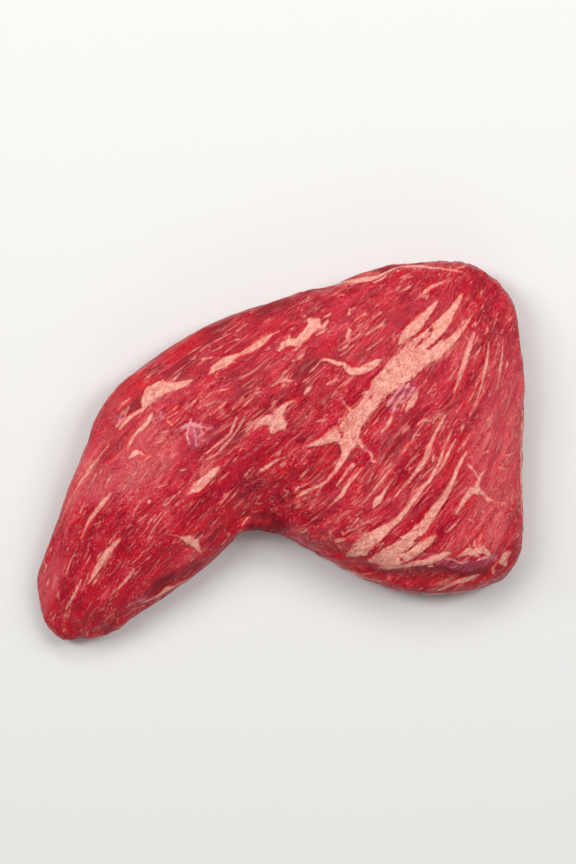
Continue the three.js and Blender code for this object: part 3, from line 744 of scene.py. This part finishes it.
def distance_to(runs, points):
    """The distance from each point to the nearest stroke, negative inside, and that stroke's half width."""
    order = np.argsort(points[:, 0])
    ordered = points[order]
    line = ordered[:, 0].copy()
    nearest = np.full(len(points), float(STROKE_REACH))
    breadth = np.zeros(len(points))
    for run in runs:
        for start, end in zip(run, run[1:]):
            margin = max(start[3], end[3]) + STROKE_REACH
            left, low = np.minimum(start, end)[:2] - margin
            right, high = np.maximum(start, end)[:2] + margin
            first, last = np.searchsorted(line, (left, right))
            up = ordered[first:last, 1]
            near = first + np.flatnonzero((up > low) & (up < high))
            leg = end[:3] - start[:3]
            offset = ordered[near] - start[:3]
            share = np.clip(offset @ leg / max(leg @ leg, 1e-9), 0, 1)
            half = start[3] + (end[3] - start[3]) * share
            gap = np.linalg.norm(offset - share[:, None] * leg, axis=1) - half
            closer = gap < nearest[near]
            nearest[near[closer]] = gap[closer]
            breadth[near[closer]] = half[closer]
    back = np.argsort(order)
    return nearest[back], breadth[back]


def patches(spots, points):
    """How strongly soft oval spots cover each point, 0 to 1, as the camera sees them."""
    cover = np.zeros(len(points))
    scale = CAMERA_ABOVE / (CAMERA_PLACE[2] - points[:, 2])
    flat = VIEW_CENTRE + (points[:, :2] - VIEW_CENTRE) * scale[:, None] - TRACE_SHIFT
    for x, y, length, width, degrees, strength in spots:
        angle = np.radians(degrees)
        right, up = flat[:, 0] - x, flat[:, 1] - y
        along = (right * np.cos(angle) + up * np.sin(angle)) / length
        across = (up * np.cos(angle) - right * np.sin(angle)) / width
        cover = np.maximum(cover, strength * (1 - smooth_step(np.hypot(along, across), *SPOT_EDGE)))
    return cover


# What the surface carries
def relief(grain, fat, breadth, normals):
    """How far each point stands out of the smooth form."""
    height = np.zeros(len(grain))
    for along, across, rise in RELIEF:
        height += rise * rough_noise(grain / (along, across, across), RELIEF_LAYERS)
    broad = smooth_step(breadth, *BROAD_FAT)
    inside = broad * (1 - smooth_step(fat, *FAT_EDGE))
    height *= 1 - FAT_EVENING * inside
    height += FAT_RISE * inside
    height -= broad * CREASE_DEPTH * np.clip(1 - np.abs(fat - CREASE_AT) / CREASE_WIDTH, 0, 1)
    base = smooth_step(-normals[:, 2], *BASE_FACING)
    return height * (1 - base) - base * BASE_RELIEF * np.abs(height)


def unfold(mesh, points, normals):
    """A UV map of two charts, top above underside, with the steep sides spread outwards."""
    upper = normals[:, 2] >= 0
    steep = np.sqrt(np.clip(1 - normals[:, 2] ** 2, 0, 1))
    flat = points[:, :2] + normals[:, :2] * (UV_SPREAD * steep**2)[:, None]
    low, high = flat.min(axis=0) - UV_ROOM, flat.max(axis=0) + UV_ROOM
    corners = integers(mesh.loops, "vertex_index")
    sides = integers(mesh.polygons, "loop_total")
    faces_up = np.add.reduceat(upper[corners].astype(float), integers(mesh.polygons, "loop_start")) / sides
    corner_up = np.repeat(faces_up >= 0.5, sides)
    place = ((flat - low) / (high - low))[corners]
    place[~corner_up, 0] = 1 - place[~corner_up, 0]
    place[:, 1] = place[:, 1] * UV_CHART + UV_MARGIN + np.where(corner_up, 0.5, 0)
    layer = mesh.uv_layers.new(name="OFBake")
    layer.data.foreach_set("uv", place.astype(np.float32).ravel())


def dress(piece):
    """Adds the relief and the masks for the marbling and the colours to the fine mesh."""
    mesh = piece.data
    points = vectors(mesh.vertices, "co") / MM
    normals = vectors(mesh.vertex_normals, "vector")
    surface = Surface(piece)
    grain = grain_at(swayed(points, *GRAIN_SWAY))
    stirred = swayed(points, *STROKE_SWAY)
    runs = laid([*TOP_FAT.values(), *TOP_DASHES, *HIDDEN_FAT], surface.seen, TRACE_SHIFT)
    runs += laid(UNDER_FAT.values(), surface.below, TRACE_SHIFT)
    runs += laid([*SIDE_FAT.values(), *scattered(points, normals)], surface.nearest)
    fat, breadth = distance_to(runs, stirred)
    sliver, membrane, strand = (
        distance_to(laid(strokes.values(), surface.seen, TRACE_SHIFT), stirred)[0]
        for strokes in (SLIVERS, MEMBRANE, STRANDS)
    )
    fat = np.maximum(fat, -sliver)
    facing_up = smooth_step(normals[:, 2], *TOP_FACING)
    lined, *tones = (
        patches(spots, stirred) * facing_up for spots in (LINED, DEEP_RED_AND_PAINTED_SHADE, BRIGHT_RED_AND_PAINTED_LIGHT, PALE_PINK_AND_PAINTED_LIGHT)
    )
    unfold(mesh, points, normals)
    moved = points + normals * relief(grain, fat, breadth, normals)[:, None]
    moved[:, 2] = np.maximum(moved[:, 2], 0)
    mesh.vertices.foreach_set("co", (moved * MM).astype(np.float32).ravel())
    masks = {"fat": fat, "breadth": breadth, "membrane": membrane, "strand": strand, "lined": lined}
    for name, values in {"grain": grain, "tone": np.stack(tones, axis=1), **masks}.items():
        put(mesh, name, values)
    mesh.shade_smooth()
    mesh.update()


# Materials
class Nodes:
    """Adds shader nodes to one material."""

    def __init__(self, name):
        self.material = bpy.data.materials.new(name)
        self.material.use_nodes = True
        self.tree = self.material.node_tree
        self.shader = self.tree.nodes["Principled BSDF"]

    def fill(self, sockets, values):
        """Sets sockets to values, or joins them to the outputs that feed them."""
        for place, value in values.items():
            if isinstance(value, bpy.types.NodeSocket):
                self.tree.links.new(value, sockets[place])
            else:
                sockets[place].default_value = value

    def add(self, kind, values, **settings):
        """A node with its settings, and with its inputs filled."""
        node = self.tree.nodes.new("ShaderNode" + kind)
        for name, value in settings.items():
            setattr(node, name, value)
        self.fill(node.inputs, values)
        return node

    def sum(self, first, second):
        return self.add("Math", {0: first, 1: second}, operation="ADD").outputs[0]

    def times(self, first, second):
        return self.add("Math", {0: first, 1: second}, operation="MULTIPLY").outputs[0]

    def step(self, value, low, high, least=0, most=1):
        """An even curve from least at low to most at high."""
        values = {"Value": value, "From Min": low, "From Max": high, "To Min": least, "To Max": most}
        return self.add("MapRange", values, interpolation_type="SMOOTHSTEP").outputs["Result"]

    def mix(self, share, first, second):
        """The first colour, changed into the second by a share."""
        node = self.add("Mix", {}, data_type="RGBA")
        sockets = {socket.name: socket for socket in node.inputs if socket.enabled}
        self.fill(sockets, {"Factor": share, "A": first, "B": second})
        return next(socket for socket in node.outputs if socket.enabled)

    def over(self, under, share, colour):
        """A screen colour laid over another colour by a share."""
        return self.mix(share, under, linear(colour))

    def blend(self, parts):
        """Noises weighed together about their middle, 0.5."""
        total = 0.5 - 0.5 * sum(weight for _, weight in parts)
        for value, weight in parts:
            total = self.sum(self.times(value, weight), total)
        return total

    def ramp(self, value, stops):
        """A colour that changes with the value."""
        node = self.add("ValToRGB", {"Fac": value})
        elements = node.color_ramp.elements
        while len(elements) < len(stops):
            elements.new(1)
        for element, (position, colour) in zip(elements, stops):
            element.position = position
            element.color = linear(colour)
        return node.outputs["Color"]

    def number(self, name):
        return self.add("Attribute", {}, attribute_name=name).outputs["Fac"]

    def vector(self, name):
        return self.add("Attribute", {}, attribute_name=name).outputs["Vector"]


class Beef(Nodes):
    """The beef's nodes, with the masks and noises that several of its layers share."""

    def __init__(self):
        super().__init__("raw_beef")
        self.grain = self.vector("grain")
        # Tone: deep red with painted shade, bright red with painted light, pale pink with painted light
        self.deep, self.bright, self.pale = self.add("SeparateXYZ", {0: self.vector("tone")}).outputs
        self.fat = self.number("fat")
        self.breadth = self.number("breadth")
        self.fibre = self.noise("fibre")
        self.strand = self.noise("strand")
        self.mottle = self.noise("mottle")
        self.grit = self.noise("grit")

    def noise(self, name):
        """One of the noises, stretched along the grain."""
        waves, detail, roughness, distortion = NOISES[name]
        scale = tuple(1 / wave for wave in waves)
        scaled = self.add("VectorMath", {0: self.grain, 1: scale}, operation="MULTIPLY").outputs["Vector"]
        values = {"Vector": scaled, "Scale": 1, "Detail": detail}
        values.update({"Roughness": roughness, "Distortion": distortion})
        return self.add("TexNoise", values).outputs["Fac"]

    def line(self, name, edge, share, favour, places):
        """How much a line covers that winds where a noise is near its middle, in favoured places."""
        apart = self.add("Math", {0: self.sum(self.noise(name), -0.5)}, operation="ABSOLUTE").outputs[0]
        place = self.sum(self.noise(name + " place"), favour)
        return self.times(self.step(apart, *edge, 0, share), self.step(place, *places))


def muscle(n):
    """Red muscle with beds and spots of other colour, with painted shade and light where the deep, bright
    and pale spots lie, and dark pores painted as shade in small pits.
    """
    parts = [(n.fibre, 0.4), (n.strand, 0.45), (n.noise("bundle"), 0.6), (n.mottle, 0.7), (n.grit, 0.6)]
    level = n.sum(n.sum(n.blend(parts), n.times(n.pale, 0.12)), n.times(n.deep, -0.2))
    colour = n.ramp(level, MUSCLE)
    colour = n.over(colour, n.step(n.noise("bright bed"), 0.52, 0.6, 0, 0.35), MUSCLE_BRIGHT)
    colour = n.over(colour, n.step(n.noise("dark bed"), 0.55, 0.63, 0, 0.5), MUSCLE_DARK)
    # Brighter red and painted light where the bright spots lie; paler pink and painted light where the pale
    # spots lie
    colour = n.over(colour, n.times(n.bright, 0.6), MUSCLE_BRIGHT)
    colour = n.over(colour, n.times(n.pale, 0.45), MUSCLE_PALE_AND_PAINTED_LIGHT)
    shade = n.step(n.blend([(n.fibre, 0.8), (n.grit, 1), (n.strand, 0.4)]), 0.3, 0.7, 1, 0.35)
    # Painted shade and darker muscle where the deep spots lie, broken up by the fibres
    colour = n.over(colour, n.times(n.step(n.deep, 0, 1, 0, 0.85), shade), MUSCLE_DEEP_AND_PAINTED_SHADE)
    # Dark pores: painted shade in small pits, fewer on the pale spots
    painted_pit_shade = n.times(n.step(n.noise("pore"), 0.48, 0.32, 0, 0.6), n.step(n.pale, 0, 1, 1, 0.4))
    return n.over(colour, painted_pit_shade, MUSCLE_DEEP_AND_PAINTED_SHADE)


def with_membrane(n, colour):
    """A colour under patches of membrane that fray at their edges and carry pale strands."""
    fray = n.noise("fray")
    veil = n.sum(n.number("membrane"), n.step(fray, 0.3, 0.7, 1.8, -1.8))
    streak = n.blend([(n.noise("film"), 1), (n.mottle, 0.8)])
    streak = n.sum(streak, n.sum(n.times(n.deep, -0.25), n.times(n.pale, 0.2)))
    film = n.over(linear(MEMBRANE_DARK), n.step(streak, 0.34, 0.64), MEMBRANE_PALE)
    colour = n.mix(n.step(veil, 1, -1.2, 0, 0.85), colour, film)
    pull = n.sum(n.number("strand"), n.step(fray, 0.3, 0.7, 0.45, -0.45))
    return n.over(colour, n.step(pull, 0.45, -0.45, 0, 0.7), MEMBRANE_STRAND)


def with_marbling(n, colour):
    """A colour under fine lines and flecks of fat and painted highlights of small wet glints, fewer on the
    deep, bright and pale spots.
    """
    clear = n.times(n.step(n.deep, 0.2, 0.9, 1, 0.15), n.step(n.sum(n.pale, n.bright), 0.2, 1, 1, 0.45))
    lined = n.times(n.number("lined"), 0.09)
    thread = n.line("thread", (0.026, 0.008), 0.85, lined, (0.54, 0.62))
    colour = n.over(colour, n.times(thread, clear), FAT_DULL)
    hairline = n.line("hairline", (0.045, 0.012), 0.6, lined, (0.57, 0.65))
    colour = n.over(colour, n.times(hairline, clear), FAT_THIN)
    web = n.line("web", (0.055, 0.012), 0.6, n.times(n.pale, 0.3), (0.66, 0.78))
    colour = n.over(colour, web, FAT_THIN)
    place = n.step(n.noise("fleck place"), 0.35, 0.65, -0.1, 0.06)
    fleck = n.sum(n.sum(n.noise("fleck"), place), n.step(n.fat, 2.6, 0.6, 0, 0.04))
    colour = n.over(colour, n.times(n.step(fleck, 0.6, 0.7, 0, 0.72), clear), FAT_THIN)
    dash = n.step(n.noise("dash"), 0.64, 0.69, 0, 0.85)
    colour = n.over(colour, n.times(dash, clear), FAT_DULL)
    # Painted highlights: small wet glints in the colour, where the strands gather
    painted_glint = n.step(n.noise("painted_glint"), 0.64, 0.74, 0, 0.65)
    painted_glint = n.times(painted_glint, n.step(n.sum(n.strand, place), 0.46, 0.6))
    return n.over(colour, n.times(painted_glint, clear), MUSCLE_PAINTED_GLINT)


def fat_colour(n, ragged):
    """Fat that is thin at its edge, lumpy inside and flawed where it is broad."""
    colour = n.over(linear(FAT_DULL), n.step(n.mottle, 0.35, 0.65), FAT)
    thick = n.step(n.blend([(n.noise("lobe"), 0.8), (n.grit, 1.2)]), 0.36, 0.68, 0, 0.9)
    colour = n.over(colour, thick, FAT_THICK)
    flaw = n.times(n.step(n.noise("flaw"), 0.5, 0.34, 0, 0.85), n.step(n.breadth, 3, 5.5, 0.5, 1))
    colour = n.over(colour, flaw, FAT_FLAW)
    return n.mix(n.step(ragged, 0.25, -0.95), linear(FAT_THIN), colour)


def with_fat(n, colour, ragged, cover):
    """A colour under the fat, with painted shade and brighter red muscle beside it."""
    beside = n.step(ragged, 2.2, 0.4)
    # Painted shade in the crease beside the fat, where the mottle is high
    colour = n.over(colour, n.times(beside, n.step(n.mottle, 0.5, 0.62, 0, 0.25)), MUSCLE_DEEP_AND_PAINTED_SHADE)
    colour = n.over(colour, n.times(beside, n.step(n.mottle, 0.5, 0.38, 0, 0.5)), MUSCLE_BRIGHT)
    faint = n.times(n.step(n.breadth, 1.1, 0.4), n.step(n.grit, 0.6, 0.4, 0, 0.5))
    return n.mix(n.times(cover, n.step(faint, 0, 1, 1, 0)), colour, fat_colour(n, ragged))


def beef_material():
    """Moist raw beef, built up from the muscle to the fat that covers it."""
    n = Beef()
    wander = n.blend([(n.noise("tear"), 1), (n.fibre, 0.5), (n.grit, 0.5)])
    wander = n.times(n.sum(wander, -0.5), n.step(n.breadth, 0.3, 5, -1, -4))
    ragged = n.sum(n.fat, wander)
    cover = n.step(ragged, 0.4, -0.35)
    colour = with_fat(n, with_marbling(n, with_membrane(n, muscle(n))), ragged, cover)
    dull = n.step(n.blend([(n.grit, 0.6), (n.strand, 0.6)]), 0.3, 0.7, 0.16, 0.34)
    dull = n.sum(dull, n.times(n.deep, 0.3))
    height = n.sum(n.blend([(n.fibre, 0.6), (n.grit, 0.7), (n.strand, 0.3)]), n.times(cover, 0.15))
    bump = n.add("Bump", {"Height": height, "Strength": 1, "Distance": BUMP_HEIGHT * MM})
    inputs = {"Base Color": colour, "Roughness": dull, "Normal": bump.outputs["Normal"], **BEEF_SHADER}
    n.fill(n.shader.inputs, inputs)
    return n.material


def floor_material():
    """Plain pale matt floor."""
    n = Nodes("floor")
    n.fill(n.shader.inputs, {"Base Color": linear(FLOOR_COLOUR), "Roughness": FLOOR_ROUGHNESS})
    return n.material


# Scene
def make_camera():
    """The camera, looking straight down with the part's +Y up the picture."""
    data = bpy.data.cameras.new("camera")
    data.sensor_width = SENSOR
    data.lens = SENSOR * CAMERA_ABOVE / VIEW_HEIGHT
    camera = added("camera", data)
    camera.location = Vector(CAMERA_PLACE) * MM
    bpy.context.scene.camera = camera


def make_floor():
    """A wide plane that the roast rests on."""
    mesh = bpy.data.meshes.new("floor")
    corners = [(x * FLOOR_HALF, y * FLOOR_HALF, 0) for x, y in ((-1, -1), (1, -1), (1, 1), (-1, 1))]
    mesh.from_pydata(corners, [], [(0, 1, 2, 3)])
    mesh.materials.append(floor_material())
    added("floor", mesh)


def make_lights():
    """Soft rectangular lights aimed at the roast from the left, right, far and near, and an even sky."""
    for name, (place, size, power) in LIGHTS.items():
        data = bpy.data.lights.new(name, "AREA")
        data.shape = "RECTANGLE"
        data.size, data.size_y = size
        data.energy = power
        light = added(name, data)
        light.location = place
        light.rotation_euler = (-Vector(place)).to_track_quat("-Z", "Y").to_euler()
    world = bpy.data.worlds.new("world")
    world.use_nodes = True
    background = world.node_tree.nodes["Background"]
    background.inputs["Color"].default_value = (1, 1, 1, 1)
    background.inputs["Strength"].default_value = SKY_STRENGTH
    bpy.context.scene.world = world
    bpy.context.scene.view_settings.view_transform = "Standard"


make_camera()
make_floor()
make_lights()
roast = fine_copy(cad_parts["tri_tip"], "tri_tip_roast")
dress(roast)
roast.data.materials.clear()
roast.data.materials.append(beef_material())
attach(roast, "root")
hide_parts("tri_tip")
